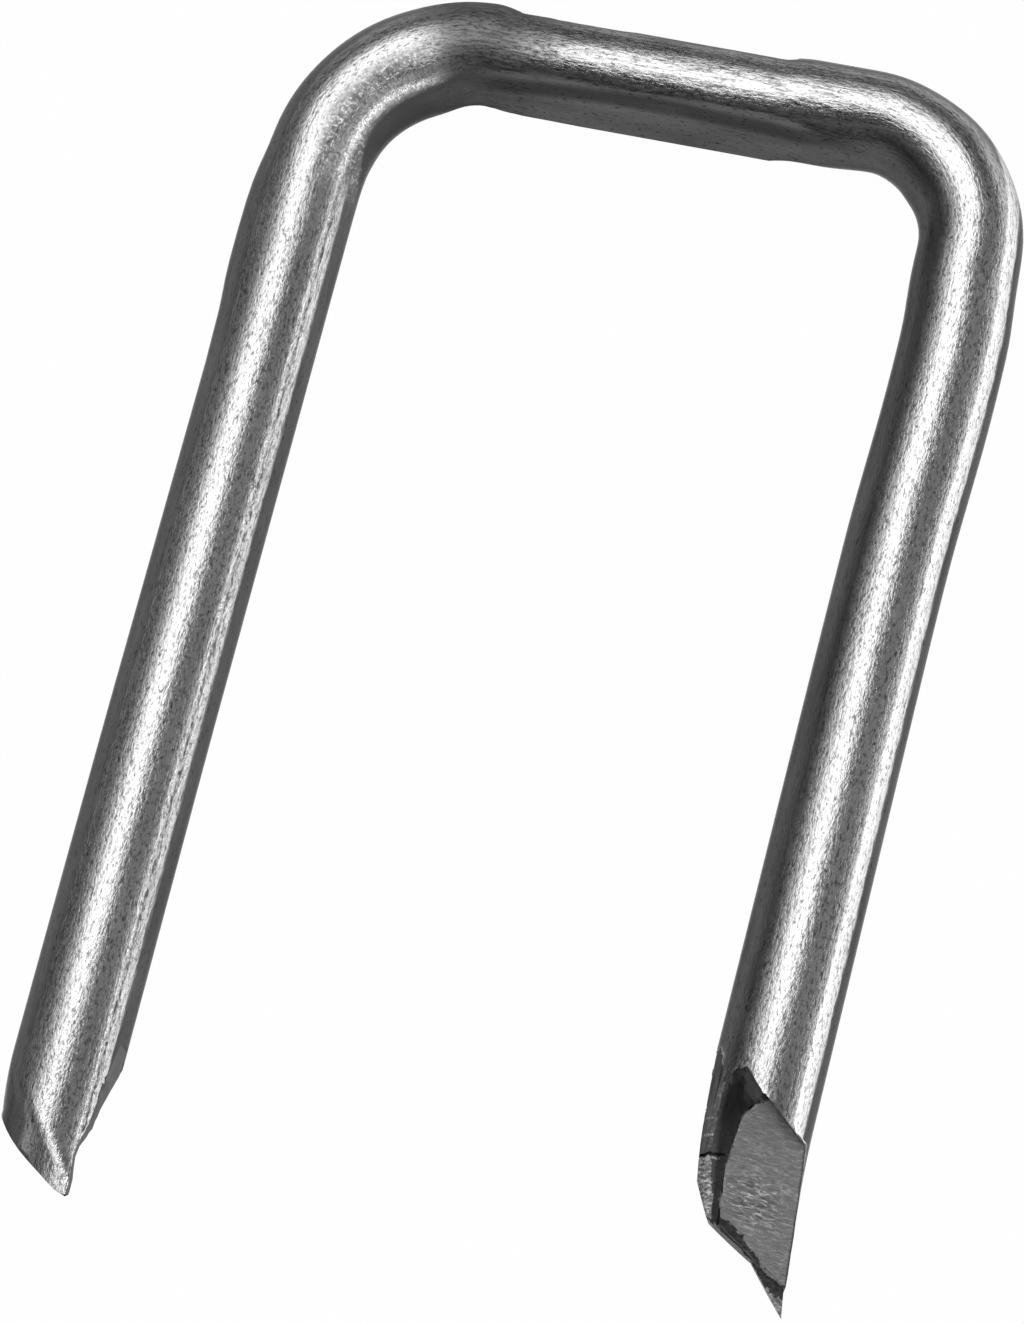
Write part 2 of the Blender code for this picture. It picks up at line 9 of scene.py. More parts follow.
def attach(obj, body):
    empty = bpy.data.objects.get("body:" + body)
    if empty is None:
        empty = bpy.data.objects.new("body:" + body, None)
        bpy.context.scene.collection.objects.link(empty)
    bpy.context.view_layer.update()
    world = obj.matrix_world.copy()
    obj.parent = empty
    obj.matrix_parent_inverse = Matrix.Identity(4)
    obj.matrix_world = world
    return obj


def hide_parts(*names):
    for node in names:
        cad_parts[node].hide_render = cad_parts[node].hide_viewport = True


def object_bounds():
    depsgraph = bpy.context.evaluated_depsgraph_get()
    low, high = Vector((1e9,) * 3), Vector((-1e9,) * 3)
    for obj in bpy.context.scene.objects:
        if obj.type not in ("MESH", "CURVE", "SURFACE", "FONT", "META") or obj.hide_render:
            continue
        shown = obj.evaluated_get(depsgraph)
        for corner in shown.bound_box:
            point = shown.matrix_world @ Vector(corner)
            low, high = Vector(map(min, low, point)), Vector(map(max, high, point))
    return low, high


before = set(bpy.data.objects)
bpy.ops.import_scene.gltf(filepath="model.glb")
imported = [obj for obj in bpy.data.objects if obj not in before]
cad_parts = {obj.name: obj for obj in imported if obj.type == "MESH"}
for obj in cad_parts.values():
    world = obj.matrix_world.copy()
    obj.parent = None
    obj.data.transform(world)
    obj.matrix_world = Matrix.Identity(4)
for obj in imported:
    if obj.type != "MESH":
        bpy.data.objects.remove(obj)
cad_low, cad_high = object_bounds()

# The staple: drawn steel wire, 2.69 mm thick, sheared to length, pressed flat on both sides of
# the crown and bent into a U. Its skin is painted dark on its flanks as shade, lighter on its
# two faces, and keeps fine pits and lines along its length from the die.
MM = 0.001
RADIUS = 1.345 * MM
CROWN_TO_TOP = 1.449 * MM
AXIS_MIDDLE_X = -0.013 * MM
LEG_AXIS_X = 8.62 * MM
TOE_IN = math.radians(0.5)
BEND_ANGLE = math.pi / 2 + TOE_IN
LEFT_BEND = 3.7 * MM
RIGHT_BEND = 3.12 * MM
RIGHT_END = 30.5 * MM
RIGHT_SPLAY = 0.42 * MM
RIGHT_SPLAY_RUN = 4.5 * MM
LEFT_END = 31.8 * MM
LEFT_DRIFT = 0.07 * MM
LEFT_DRIFT_RUN = 12 * MM
EDGE_ROLL = 0.155 * MM
EDGE_ROLL_START = LEFT_END - 3.5 * MM
EDGE_ROLL_RUN = 1.6 * MM
CUTS_START = 24.5 * MM
NEARLY_ROUND = 0.03 * MM
crown_y = cad_high.y - CROWN_TO_TOP


def smooth(value, start, end):
    """Soft step from 0 at the start to 1 at the end."""
    share = min(1.0, max(0.0, (value - start) / (end - start)))
    return share * share * (3 - 2 * share)


def right_splay(s):
    """How far the right leg's end bends outward."""
    return RIGHT_SPLAY * (max(0.0, s - (RIGHT_END - RIGHT_SPLAY_RUN)) / RIGHT_SPLAY_RUN) ** 2


def wire_place(point):
    """Where a point lay on the straight wire: out, up, along it, and s down its leg."""
    across = point.x - AXIS_MIDDLE_X
    side = 1 if across >= 0 else -1
    radius = RIGHT_BEND if side > 0 else LEFT_BEND
    tangent = radius * math.tan(BEND_ANGLE / 2)
    bend_start = LEG_AXIS_X - tangent
    up = point.z - RADIUS
    beside = side * across - bend_start
    above = point.y - crown_y + radius
    if beside <= 0:
        return above - radius, up, side * (bend_start + beside), 0.0
    turned = math.atan2(beside, above)
    if turned < BEND_ANGLE:
        return math.hypot(beside, above) - radius, up, side * (bend_start + radius * turned), 0.0
    outward = Vector((math.sin(BEND_ANGLE), math.cos(BEND_ANGLE)))
    down = Vector((outward.y, -outward.x))
    past_bend = (Vector((beside, above)) - radius * outward).dot(down)
    out = (Vector((beside, above)) - radius * outward).dot(outward)
    s = past_bend + tangent
    if side > 0:
        out -= right_splay(s)
    else:
        out += LEFT_DRIFT * max(0.0, s - (LEFT_END - LEFT_DRIFT_RUN)) / LEFT_DRIFT_RUN
    return out, up, side * (bend_start + radius * BEND_ANGLE + past_bend), s


def outward_at(along):
    """Unit vector out of the U, for a place on one of the legs."""
    side = 1 if along >= 0 else -1
    return Vector((side * math.sin(BEND_ANGLE), math.cos(BEND_ANGLE), 0))


def edge_roll(s):
    """How far the left point's outer edge was rolled in by the shear."""
    return EDGE_ROLL * (min(1.0, max(0.0, (s - EDGE_ROLL_START) / EDGE_ROLL_RUN))) ** 2


def unrolled(out, along, s):
    """The out that a point had before the shear rolled the left point's outer edge in."""
    roll = edge_roll(s) if along < 0 else 0.0
    return out + roll * (max(0.0, out) / RADIUS) ** 2


def drawn_over(out, s):
    """How far the left point's skin was drawn over towards its cut edge by the shear."""
    gap = (0.68 * MM - out) * 0.66 + (30.24 * MM - s) * 0.75
    return min(0.42, max(0.0, 0.72 - gap / MM))


bpy.ops.object.select_all(action="DESELECT")
cad_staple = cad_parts["staple"]
staple = cad_staple.copy()
staple.data = cad_staple.data.copy()
staple.name = "staple_wire"
staple.parent = None
bpy.context.scene.collection.objects.link(staple)
staple.select_set(True)
bpy.context.view_layer.objects.active = staple
bpy.ops.object.mode_set(mode="EDIT")
bpy.ops.mesh.select_all(action="SELECT")
bpy.ops.mesh.remove_doubles(threshold=0.002 * MM)
bpy.ops.mesh.tris_convert_to_quads(face_threshold=math.radians(30), shape_threshold=math.radians(60))
bpy.ops.mesh.select_all(action="DESELECT")
bpy.ops.object.mode_set(mode="OBJECT")

# The crown's seat is cut out with slivers along its edge, so near corners are drawn together.
for vertex in staple.data.vertices:
    out, up, along, s = wire_place(vertex.co)
    vertex.select = s == 0 and abs(along) < 7 * MM and out < 0
bpy.ops.object.mode_set(mode="EDIT")
bpy.ops.mesh.remove_doubles(threshold=0.02 * MM)
for step in range(27):
    bpy.ops.mesh.select_all(action="SELECT")
    bpy.ops.mesh.bisect(plane_co=((-6.5 + 0.5 * step) * MM, 0, 0), plane_no=(1, 0, 0))
# The long faces of the legs are cut across into short ones near the points.
for step in range(32):
    bpy.ops.mesh.select_all(action="SELECT")
    bpy.ops.mesh.bisect(plane_co=(0, (-16.4 + 0.25 * step) * MM, 0), plane_no=(0, 1, 0))
bpy.ops.mesh.select_all(action="SELECT")
bpy.ops.mesh.remove_doubles(threshold=0.008 * MM)
bpy.ops.object.mode_set(mode="OBJECT")

# Which faces are skin, and which ones the shear left. Until the steel is put on, a face's
# material number tells its kind.
SKIN, TORN, SCOOP, WALL, WIPED, FLAP = range(6)
TORN_NORMAL = Vector((0.39, -0.27, 1.0)).normalized()
for polygon in staple.data.polygons:
    out, up, along, s = wire_place(polygon.center)
    outer = unrolled(out, along, s)
    radial = math.hypot(outer, up)
    outward = outward_at(along)
    facing = (polygon.normal.dot(outward) * outer + polygon.normal.z * up) / max(radial, 1e-9)
    polygon.material_index = SKIN
    if s < CUTS_START:
        continue
    if radial > RADIUS - NEARLY_ROUND and facing > 0.93:
        continue
    if along > 0:
        if polygon.normal.dot(TORN_NORMAL) > 0.96:
            polygon.material_index = TORN
        elif s > 29.1 * MM and polygon.normal.z > 0.3:
            polygon.material_index = FLAP
        elif s > 28 * MM and polygon.normal.z < 0.35 and polygon.normal.y < -0.4:
            polygon.material_index = WALL
        elif abs(polygon.normal.z) < 0.3 and out < 0.3 * MM and s < 29.5 * MM:
            polygon.material_index = TORN
        else:
            polygon.material_index = SCOOP
    elif polygon.normal.x > 0.9:
        polygon.material_index = WIPED
    elif polygon.normal.z < -0.1:
        polygon.material_index = TORN
    else:
        polygon.material_index = WALL

# The cut faces of the right point are cut along as well, so that they can be roughened.
shape = bmesh.new()
shape.from_mesh(staple.data)
for step in range(15):
    cut_at = ((7.2 + 0.2 * step) * MM, 0, 0)
    faces = [face for face in shape.faces if face.material_index in (TORN, SCOOP)]
    cut = [face for face in faces if face.calc_center_median().x > 0]
    edges = list({edge for face in cut for edge in face.edges})
    corners = list({corner for face in cut for corner in face.verts})
    cut += edges + corners
    bmesh.ops.bisect_plane(shape, geom=cut, plane_co=cut_at, plane_no=(1, 0, 0), dist=0.002 * MM)
shape.to_mesh(staple.data)
shape.free()

# The sections are made rounder, while the sharp edges and the fine cuts near the points stay.
bpy.ops.object.mode_set(mode="EDIT")
bpy.ops.mesh.select_mode(type="EDGE")
bpy.ops.mesh.select_all(action="DESELECT")
bpy.ops.mesh.edges_select_sharp(sharpness=math.radians(40))
bpy.ops.object.mode_set(mode="OBJECT")
for edge in staple.data.edges:
    places = [wire_place(staple.data.vertices[index].co) for index in edge.vertices]
    along = places[0][2]
    limit = 19.5 * MM if along > 0 else 23.0 * MM
    if min(s for out, up, along, s in places) > limit:
        edge.select = True
bpy.ops.object.mode_set(mode="EDIT")
bpy.ops.transform.edge_crease(value=1.0)
bpy.ops.object.mode_set(mode="OBJECT")
smoother = staple.modifiers.new("round_sections", "SUBSURF")
smoother.levels = 1
smoother.render_levels = 1
bpy.ops.object.modifier_apply(modifier=smoother.name)
for polygon in staple.data.polygons:
    polygon.select = polygon.material_index in (TORN, SCOOP) and polygon.center.x > 0
bpy.ops.object.mode_set(mode="EDIT")
bpy.ops.mesh.select_mode(type="FACE")
bpy.ops.mesh.subdivide(number_cuts=2)
bpy.ops.object.mode_set(mode="OBJECT")

# Corners that lie on skin alone are brought back onto the round of the wire, down each leg.
count = len(staple.data.vertices)
skin_only = [True] * count
on_skin_edge = [False] * count
on_torn = [False] * count
for polygon in staple.data.polygons:
    for index in polygon.vertices:
        if polygon.material_index == SKIN:
            on_skin_edge[index] = True
        else:
            skin_only[index] = False
            on_torn[index] = on_torn[index] or polygon.material_index == TORN

for vertex in staple.data.vertices:
    out, up, along, s = wire_place(vertex.co)
    if s < 8.5 * MM:
        continue
    share = smooth(s, 13 * MM, 15 * MM) if along > 0 else smooth(s, 8.7 * MM, 10 * MM)
    roll = edge_roll(s) if along < 0 else 0.0
    outer = unrolled(out, along, s)
    radial = math.hypot(outer, up)
    if skin_only[vertex.index] and abs(radial - RADIUS) < NEARLY_ROUND:
        scale = 1 + share * (RADIUS / radial - 1)
        new_outer = outer * scale
        new_out = new_outer - roll * (max(0.0, new_outer) / RADIUS) ** 2
        vertex.co += outward_at(along) * (new_out - out) + Vector((0, 0, up * (scale - 1)))

# The torn face's edges on the scoop's side and over the end wall, in millimetres: x across the
# leg, as it was before its end was bent outward, and t down it.
TORN_EDGE = (
    (1.60, 24.60), (0.17, 25.77), (-0.285, 26.16), (-0.42, 27.43), (-0.38, 28.20),
    (-0.28, 28.55), (0.25, 28.82), (0.55, 29.08), (1.02, 29.50), (1.60, 29.80),
)


def torn_reach(x, t):
    """Signed distance inside the torn face's edge, from a point at (x, t)."""
    nearest = 9.0
    inside = False
    for (x0, t0), (x1, t1) in zip(TORN_EDGE, TORN_EDGE[1:] + TORN_EDGE[:1]):
        share = ((x - x0) * (x1 - x0) + (t - t0) * (t1 - t0)) / ((x1 - x0) ** 2 + (t1 - t0) ** 2)
        share = min(1.0, max(0.0, share))
        nearest = min(nearest, math.hypot(x - x0 - share * (x1 - x0), t - t0 - share * (t1 - t0)))
        if (t0 > t) != (t1 > t) and x < x0 + (t - t0) / (t1 - t0) * (x1 - x0):
            inside = not inside
    return nearest if inside else -nearest


# The torn face is roughened in its shape: lumps and ridges, highest where it was crumpled.
end_place = []
crumpled = []
for vertex in staple.data.vertices:
    out, up, along, s = wire_place(vertex.co)
    t = s / MM
    x = (out + right_splay(s)) / MM
    if along < 0 or s < CUTS_START:
        end_place += [0.0, 0.0, -1.0]
        crumpled.append(0.0)
        continue
    end_place += [x, t, torn_reach(x, t)]
    crumpled.append(math.exp(-(((x - 0.45) / 0.55) ** 2) - ((t - 28.0) / 0.5) ** 2))
    if on_torn[vertex.index]:
        sway = 0.12 * noise.noise(Vector((x * 2.5, t * 2.5, 5.0)))
        lumps = noise.noise(Vector((x * 1.6, t * 3.0, 1.0))) * 0.020
        ridges = noise.noise(Vector((x * 2.2, (t + sway) * 9.0, 2.0)))
        fine = noise.noise(Vector((x * 5.0, (t + sway) * 16.0, 3.0)))
        crumple = crumpled[-1]
        rise = lumps + ridges * (0.007 + 0.020 * crumple) + fine * (0.004 + 0.010 * crumple)
        vertex.co += TORN_NORMAL * rise * MM
staple.data.update()

# What the steel's colours follow, kept on the mesh: each corner's place on the straight wire, how
# far it faces up or down rather than to a flank, which sets the flanks' painted shade, and its
# marked places.
LIT_FACING_TURN = math.radians(16)
lit_facing_side = Vector((math.sin(LIT_FACING_TURN), 0, math.cos(LIT_FACING_TURN)))
# Upper edge of the face pressed inside the left bend: millimetres left of the crown's middle, and
# degrees up from the wire's inner side.
pressed_places = (4.2, 4.8, 6.0, 7.5, 9.7, 10.3, 10.9, 11.5)
pressed_angles = (48, 46, 34, 29, 28, 25, 17, 2)
straight = []
lit_facing = []
turned = []
pressed = []
crinkled_and_shaded = []
for vertex in staple.data.vertices:
    out, up, along, s = wire_place(vertex.co)
    straight += [out / MM, up / MM, along / MM]
    on_left_point = along < 0 and up > 0
    # Near the left point's cut edge, where the skin leans over, the flank's painted shade is made
    # deeper.
    edge_shade = 1.2 * drawn_over(out, s) * max(0.0, out / RADIUS + 0.2) if on_left_point else 0.0
    lit_facing.append(abs(vertex.normal.dot(lit_facing_side)) - edge_shade)
    turned.append(vertex.normal.x)
    leftward = -along / MM
    around = math.degrees(math.atan2(up, -out))
    on_inner_side = abs(around) < 90
    edge_angle = np.interp(leftward, pressed_places, pressed_angles)
    bend_end = 1 - smooth(leftward, 11.0, 12.4)
    below_edge = 1 - smooth(around, edge_angle - 1, edge_angle + 5)
    below_top = 1 - smooth(around, 70, 84)
    pressed.append(smooth(leftward, 3.8, 6.2) * bend_end * below_edge * on_inner_side)
    crinkled_and_shaded.append(smooth(leftward, 5.4, 7.2) * bend_end * below_top * on_inner_side)
for name, values in (("straight", straight), ("end_place", end_place)):
    staple.data.attributes.new(name, "FLOAT_VECTOR", "POINT")
    staple.data.attributes[name].data.foreach_set("vector", values)

# How near each corner is to the border between the skin and the right point's torn face.
RIM_WIDTH = 0.09 * MM
border = kdtree.KDTree(count)
for vertex in staple.data.vertices:
    if on_skin_edge[vertex.index] and on_torn[vertex.index] and vertex.co.x > 0:
        border.insert(vertex.co, vertex.index)
border.balance()
rim_light_and_shade = []
for vertex in staple.data.vertices:
    point, index, distance = border.find(vertex.co)
    rim_light_and_shade.append(max(0.0, 1 - distance / RIM_WIDTH))
point_values = {
    "lit_facing": lit_facing,
    "turned": turned,
    "crumpled": crumpled,
    "rim_light_and_shade": rim_light_and_shade,
    "pressed": pressed,
    "crinkled_and_shaded": crinkled_and_shaded,
}
for name, values in point_values.items():
    staple.data.attributes.new(name, "FLOAT", "POINT")
    staple.data.attributes[name].data.foreach_set("value", values)
zones = [polygon.material_index for polygon in staple.data.polygons]
for name, members in (("cut", (TORN, SCOOP, FLAP)), ("wall", (WALL,)), ("wiped", (WIPED,))):
    values = [1.0 if zone in members else 0.0 for zone in zones]
    staple.data.attributes.new(name, "FLOAT", "FACE")
    staple.data.attributes[name].data.foreach_set("value", values)
bpy.ops.object.shade_smooth_by_angle(angle=math.radians(35))
SEAT_NORMAL = Vector((0, -0.98163, 0.19081))
for polygon in staple.data.polygons:
    on_crown = abs(polygon.center.x) < 7 * MM and polygon.center.y > 10 * MM
    if on_crown and polygon.normal.dot(SEAT_NORMAL) > 0.992:
        polygon.use_smooth = False

# The crown's struck face is shaded flat. The round skin near the points is cut into slivers, so it
# is shaded as the round wire that it is, leaning outward where the shear drew it over.
corner_normals = [corner.vector.copy() for corner in staple.data.corner_normals]
for polygon in staple.data.polygons:
    if polygon.normal.y > 0.999:
        for corner in polygon.loop_indices:
            corner_normals[corner] = polygon.normal.copy()
        continue
    if polygon.material_index != SKIN or wire_place(polygon.center)[3] < 9 * MM:
        continue
    for corner in polygon.loop_indices:
        point = staple.data.vertices[staple.data.loops[corner].vertex_index].co
        out, up, along, s = wire_place(point)
        share = smooth(s, 13 * MM, 15 * MM) if along > 0 else smooth(s, 9 * MM, 10 * MM)
        roll = edge_roll(s) if along < 0 else 0.0
        outer = unrolled(out, along, s)
        side = outward_at(along)
        down = Vector((side.y * (1 if along >= 0 else -1), -abs(side.x), 0))
        steeper = (edge_roll(s + 0.01 * MM) - roll) / (0.01 * MM) if along < 0 else 0.0
        lean = steeper * max(0.0, outer) * (max(0.0, out) / RADIUS) ** 2
        round_normal = side * outer + Vector((0, 0, up)) + down * lean
        if along < 0 and up > 0:
            round_normal += side * RADIUS * 1.45 * drawn_over(out, s)
        corner_normals[corner] = corner_normals[corner].lerp(round_normal.normalized(), share)
staple.data.normals_split_custom_set([normal.normalized() for normal in corner_normals])

# The steel: bare drawn wire, painted dark as shade on its flanks, with pits and lines along its
# length.
steel = bpy.data.materials.new("drawn_steel")
steel.use_nodes = True
nodes = steel.node_tree.nodes
links = steel.node_tree.links
shader = nodes["Principled BSDF"]
shader.inputs["Metallic"].default_value = 1.0


def kept_place(name):
    """The vector kept on the mesh under this name."""
    node = nodes.new("ShaderNodeAttribute")
    node.attribute_name = name
    return node.outputs["Vector"]


def kept_share(name):
    """The number kept on the mesh under this name."""
    node = nodes.new("ShaderNodeAttribute")
    node.attribute_name = name
    return node.outputs["Fac"]


place = kept_place("straight")


def stretched_noise(scale, stretch, detail, roughness=0.6, waviness=0.0):
    """Noise drawn out along the wire: scale is per millimetre across it."""
    mapping = nodes.new("ShaderNodeMapping")
    mapping.inputs["Scale"].default_value = (scale, scale, scale / stretch)
    texture = nodes.new("ShaderNodeTexNoise")
    texture.inputs["Scale"].default_value = 1.0
    texture.inputs["Detail"].default_value = detail
    texture.inputs["Roughness"].default_value = roughness
    texture.inputs["Distortion"].default_value = waviness
    links.new(place, mapping.inputs["Vector"])
    links.new(mapping.outputs["Vector"], texture.inputs["Vector"])
    return texture.outputs["Fac"]


def ramp(source, stops):
    """Colour ramp through (position, grey) stops."""
    node = nodes.new("ShaderNodeValToRGB")
    while len(node.color_ramp.elements) < len(stops):
        node.color_ramp.elements.new(0.5)
    for element, (position, grey) in zip(node.color_ramp.elements, stops):
        element.position = position
        element.color = (grey, grey, grey, 1)
    links.new(source, node.inputs["Fac"])
    return node.outputs["Color"]


def math_node(operation, *values):
    """Result of this operation on numbers or on other nodes' results."""
    node = nodes.new("ShaderNodeMath")
    node.operation = operation
    for socket, value in zip(node.inputs, values):
        if isinstance(value, (int, float)):
            socket.default_value = value
        else:
            links.new(value, socket)
    return node.outputs[0]


# The colour sockets of a mix node, which have the same names as its other sockets.
FIRST_COLOUR = 6
SECOND_COLOUR = 7
MIXED_COLOUR = 2


def mixed(share, first, second):
    """First colour where the share is 0, second where it is 1."""
    node = nodes.new("ShaderNodeMix")
    node.data_type = "RGBA"
    links.new(share, node.inputs["Factor"])
    links.new(first, node.inputs[FIRST_COLOUR])
    links.new(second, node.inputs[SECOND_COLOUR])
    return node.outputs[MIXED_COLOUR]


def multiplied(first, second):
    """The two colours multiplied."""
    node = nodes.new("ShaderNodeMix")
    node.data_type = "RGBA"
    node.blend_type = "MULTIPLY"
    node.inputs["Factor"].default_value = 1.0
    links.new(first, node.inputs[FIRST_COLOUR])
    links.new(second, node.inputs[SECOND_COLOUR])
    return node.outputs[MIXED_COLOUR]


def parts_of(vector):
    """The three parts of a vector."""
    node = nodes.new("ShaderNodeSeparateXYZ")
    links.new(vector, node.inputs["Vector"])
    return node.outputs["X"], node.outputs["Y"], node.outputs["Z"]


out, up, along = parts_of(place)
speckle = stretched_noise(14.0, 2.3, 3.0, 0.7)
pits = stretched_noise(17.0, 3.0, 2.0, 0.5)
lines = stretched_noise(16.0, 9.0, 3.0, 0.6)
patches = stretched_noise(1.3, 4.0, 4.0, 0.6)
blotches = stretched_noise(3.0, 3.0, 4.0, 0.7)

# Skin: painted dark as shade on the flanks, lighter on top, with a painted reflection in a band
# along the side of each leg, split on the left one by a painted dark gap.
wander = math_node("MULTIPLY_ADD", blotches, 0.12, -0.06)
lit_facing_share = math_node("ADD", kept_share("lit_facing"), wander)
# Where a corner faces sideways the skin takes the dark colour: painted shade on the flanks.
lit_share = ramp(lit_facing_share, ((0.64, 0.0), (0.80, 1.0)))
bright = ramp(patches, ((0.3, 0.37), (0.7, 0.46)))
# This dark colour is painted shade, used on the flanks and in the left leg's painted dark gap.
dark = ramp(patches, ((0.3, 0.075), (0.7, 0.125)))
line_wander = math_node("MULTIPLY_ADD", lines, 0.08, -0.04)
turned_share = math_node("ADD", kept_share("turned"), line_wander)
# A painted reflection: a bright band along the side of each leg, brighter on the right one.
side_reflection = ramp(turned_share, ((0.67, 0.0), (0.72, 1.0), (0.88, 1.0), (0.91, 0.0)))
lit_share = math_node("MAXIMUM", lit_share, side_reflection)
on_right = math_node("GREATER_THAN", along, 0.0)
left_reflection = ramp(lines, ((0.35, 0.50), (0.6, 0.85)))
right_reflection = ramp(lines, ((0.35, 0.75), (0.6, 0.95)))
bright = mixed(side_reflection, bright, mixed(on_right, left_reflection, right_reflection))
# On the left leg a painted dark gap splits that band into two reflected lines.
from_reflection_gap = math_node("ABSOLUTE", math_node("SUBTRACT", turned_share, 0.775))
reflection_gap = math_node("SUBTRACT", 1.0, math_node("MULTIPLY", from_reflection_gap, 25.0))
reflection_gap = math_node("SUBTRACT", math_node("MAXIMUM", reflection_gap, on_right), on_right)
reflection_gap = math_node("MAXIMUM", reflection_gap, 0.0)
reflection_gap = math_node("MULTIPLY", reflection_gap, ramp(speckle, ((0.44, 1.0), (0.58, 0.4))))
bright = mixed(reflection_gap, bright, dark)
bright = multiplied(bright, ramp(speckle, ((0.36, 0.50), (0.49, 1.0))))
from_middle = math_node("MULTIPLY", math_node("ABSOLUTE", along), 0.1)
on_crown = ramp(from_middle, ((0.50, 1.0), (0.75, 0.0)))
bright = mixed(on_crown, bright, multiplied(bright, ramp(lines, ((0.36, 0.48), (0.55, 0.95)))))

# The crown's left third is dull, and a dark line of painted shade follows the upper edge of its
# seat.
along_rough = math_node("ADD", along, math_node("MULTIPLY_ADD", speckle, 2.4, -1.2))
crown_place = math_node("MULTIPLY_ADD", along_rough, 0.1, 1.0)
dulled = ramp(crown_place, ((0.32, 1.0), (0.42, 0.5), (0.60, 0.5), (0.72, 0.8), (0.86, 1.0)))
skin = mixed(lit_share, dark, multiplied(bright, dulled))
skin = multiplied(skin, ramp(pits, ((0.60, 1.0), (0.70, 0.35))))
# The seat edge's painted shade: a dark line along the seat's upper edge, on the crown's top only.
slant = math_node("MULTIPLY_ADD", out, 0.957, math_node("MULTIPLY", up, 0.29))
middle = math_node("MULTIPLY_ADD", math_node("MULTIPLY", along, along), -0.008, -0.58)
from_seat_edge = math_node("MULTIPLY", math_node("SUBTRACT", slant, middle), 5.5)
seat_edge_shade = math_node("SUBTRACT", 1.0, math_node("MULTIPLY", from_seat_edge, from_seat_edge))
seat_edge_shade = math_node("MAXIMUM", seat_edge_shade, 0.0)
seat_edge_shade = math_node("MULTIPLY", seat_edge_shade, math_node("GREATER_THAN", up, 0.0))
seat_edge_shade = math_node("MULTIPLY", seat_edge_shade, ramp(from_middle, ((0.42, 1.0), (0.58, 0.0))))
skin = multiplied(skin, ramp(seat_edge_shade, ((0.0, 1.0), (0.8, 0.5))))

# Inside the left bend the skin has crinkles, and its colour there is painted by height: lighter on
# the shoulder as painted light, dark towards its top as painted shade. The face pressed against the
# bending pin is painted dark.
crinkle = stretched_noise(7.0, 1.0, 4.0, 0.7, 1.2)
crinkle_painted_light = ramp(crinkle, ((0.40, 0.14), (0.52, 0.22), (0.62, 0.45)))
shoulder_painted_light = ramp(crinkle, ((0.38, 0.45), (0.52, 0.80), (0.62, 1.0)))
top_painted_shade = ramp(crinkle, ((0.38, 0.05), (0.52, 0.12), (0.66, 0.32)))
half_up = math_node("MULTIPLY", up, 0.5)
lit_shoulder = ramp(half_up, ((0.41, 0.0), (0.51, 1.0)))
crinkle_painted_light = mixed(lit_shoulder, crinkle_painted_light, shoulder_painted_light)
# Near the top of the bend the colour is darkened as painted shade where the lamps would shine.
shaded_top = ramp(half_up, ((0.614, 0.0), (0.646, 1.0)))
crinkle_painted_light = mixed(shaded_top, crinkle_painted_light, top_painted_shade)
skin = mixed(kept_share("crinkled_and_shaded"), skin, crinkle_painted_light)
skin = mixed(kept_share("pressed"), skin, ramp(patches, ((0.3, 0.05), (0.7, 0.075))))

# The skin's edge over the right point's torn face is given a painted highlight, broken up by pits.
rim_highlight = ramp(blotches, ((0.35, 0.30), (0.6, 0.75)))
rim_highlight_share = math_node("MULTIPLY", kept_share("rim_light_and_shade"), ramp(pits, ((0.42, 0.0), (0.52, 1.0))))
skin = mixed(rim_highlight_share, skin, rim_highlight)

# The cut faces: grainy where they were torn, crumpled and bright in the middle, darker on the wiped
# side and the thin flap at the tip, and painted dark as shade on the end walls.
tear_grain = stretched_noise(4.0, 0.25, 5.0, 0.68, 0.9)
torn_grey = ramp(tear_grain, ((0.32, 0.25), (0.46, 0.33), (0.56, 0.38), (0.68, 0.60)))
crumpled_grey = ramp(tear_grain, ((0.36, 0.10), (0.46, 0.26), (0.54, 0.38), (0.60, 0.90)))
torn_colour = mixed(kept_share("crumpled"), torn_grey, crumpled_grey)
# The torn face is darkened along the same border as a painted shadow line.
torn_colour = multiplied(torn_colour, ramp(kept_share("rim_light_and_shade"), ((0.25, 1.0), (0.8, 0.3))))
# The end walls' colour is painted shade.
wall_shade = ramp(stretched_noise(8.0, 0.5, 3.0), ((0.35, 0.06), (0.65, 0.13)))
wiped_colour = ramp(lines, ((0.3, 0.12), (0.7, 0.20)))
flap_colour = ramp(stretched_noise(9.0, 0.8, 3.0), ((0.35, 0.20), (0.50, 0.38), (0.60, 0.85)))

# The scoop: smooth, painted dark as shade and darkest near its top, lighter down its outer side,
# with marks and one crack across.
end_x, end_t, reach = parts_of(kept_place("end_place"))
wobble = math_node("MULTIPLY_ADD", stretched_noise(5.0, 1.0, 3.0, 0.7), 0.3, -0.15)
wavy_x = math_node("ADD", end_x, wobble)
wavy_t = math_node("MULTIPLY_ADD", wobble, 0.5, end_t)


def cross_mark(centre, half_width, limit):
    """One on a thin mark across the scoop at this place down the leg, outside the limit in x."""
    distance = math_node("ABSOLUTE", math_node("SUBTRACT", wavy_t, centre))
    near = math_node("LESS_THAN", distance, half_width)
    return math_node("MULTIPLY", near, math_node("LESS_THAN", wavy_x, limit))


def outer_and_high(x, x_limit, t):
    """One on the scoop's outer side, where x is below its limit, down to 27.1 mm along the leg."""
    return math_node("MULTIPLY", math_node("LESS_THAN", x, x_limit), math_node("LESS_THAN", t, 27.1))


strip_grain = stretched_noise(4.0, 0.25, 4.0, 0.7, 0.3)
scoop_colour = ramp(stretched_noise(6.0, 0.4, 3.0), ((0.35, 0.09), (0.65, 0.13)))
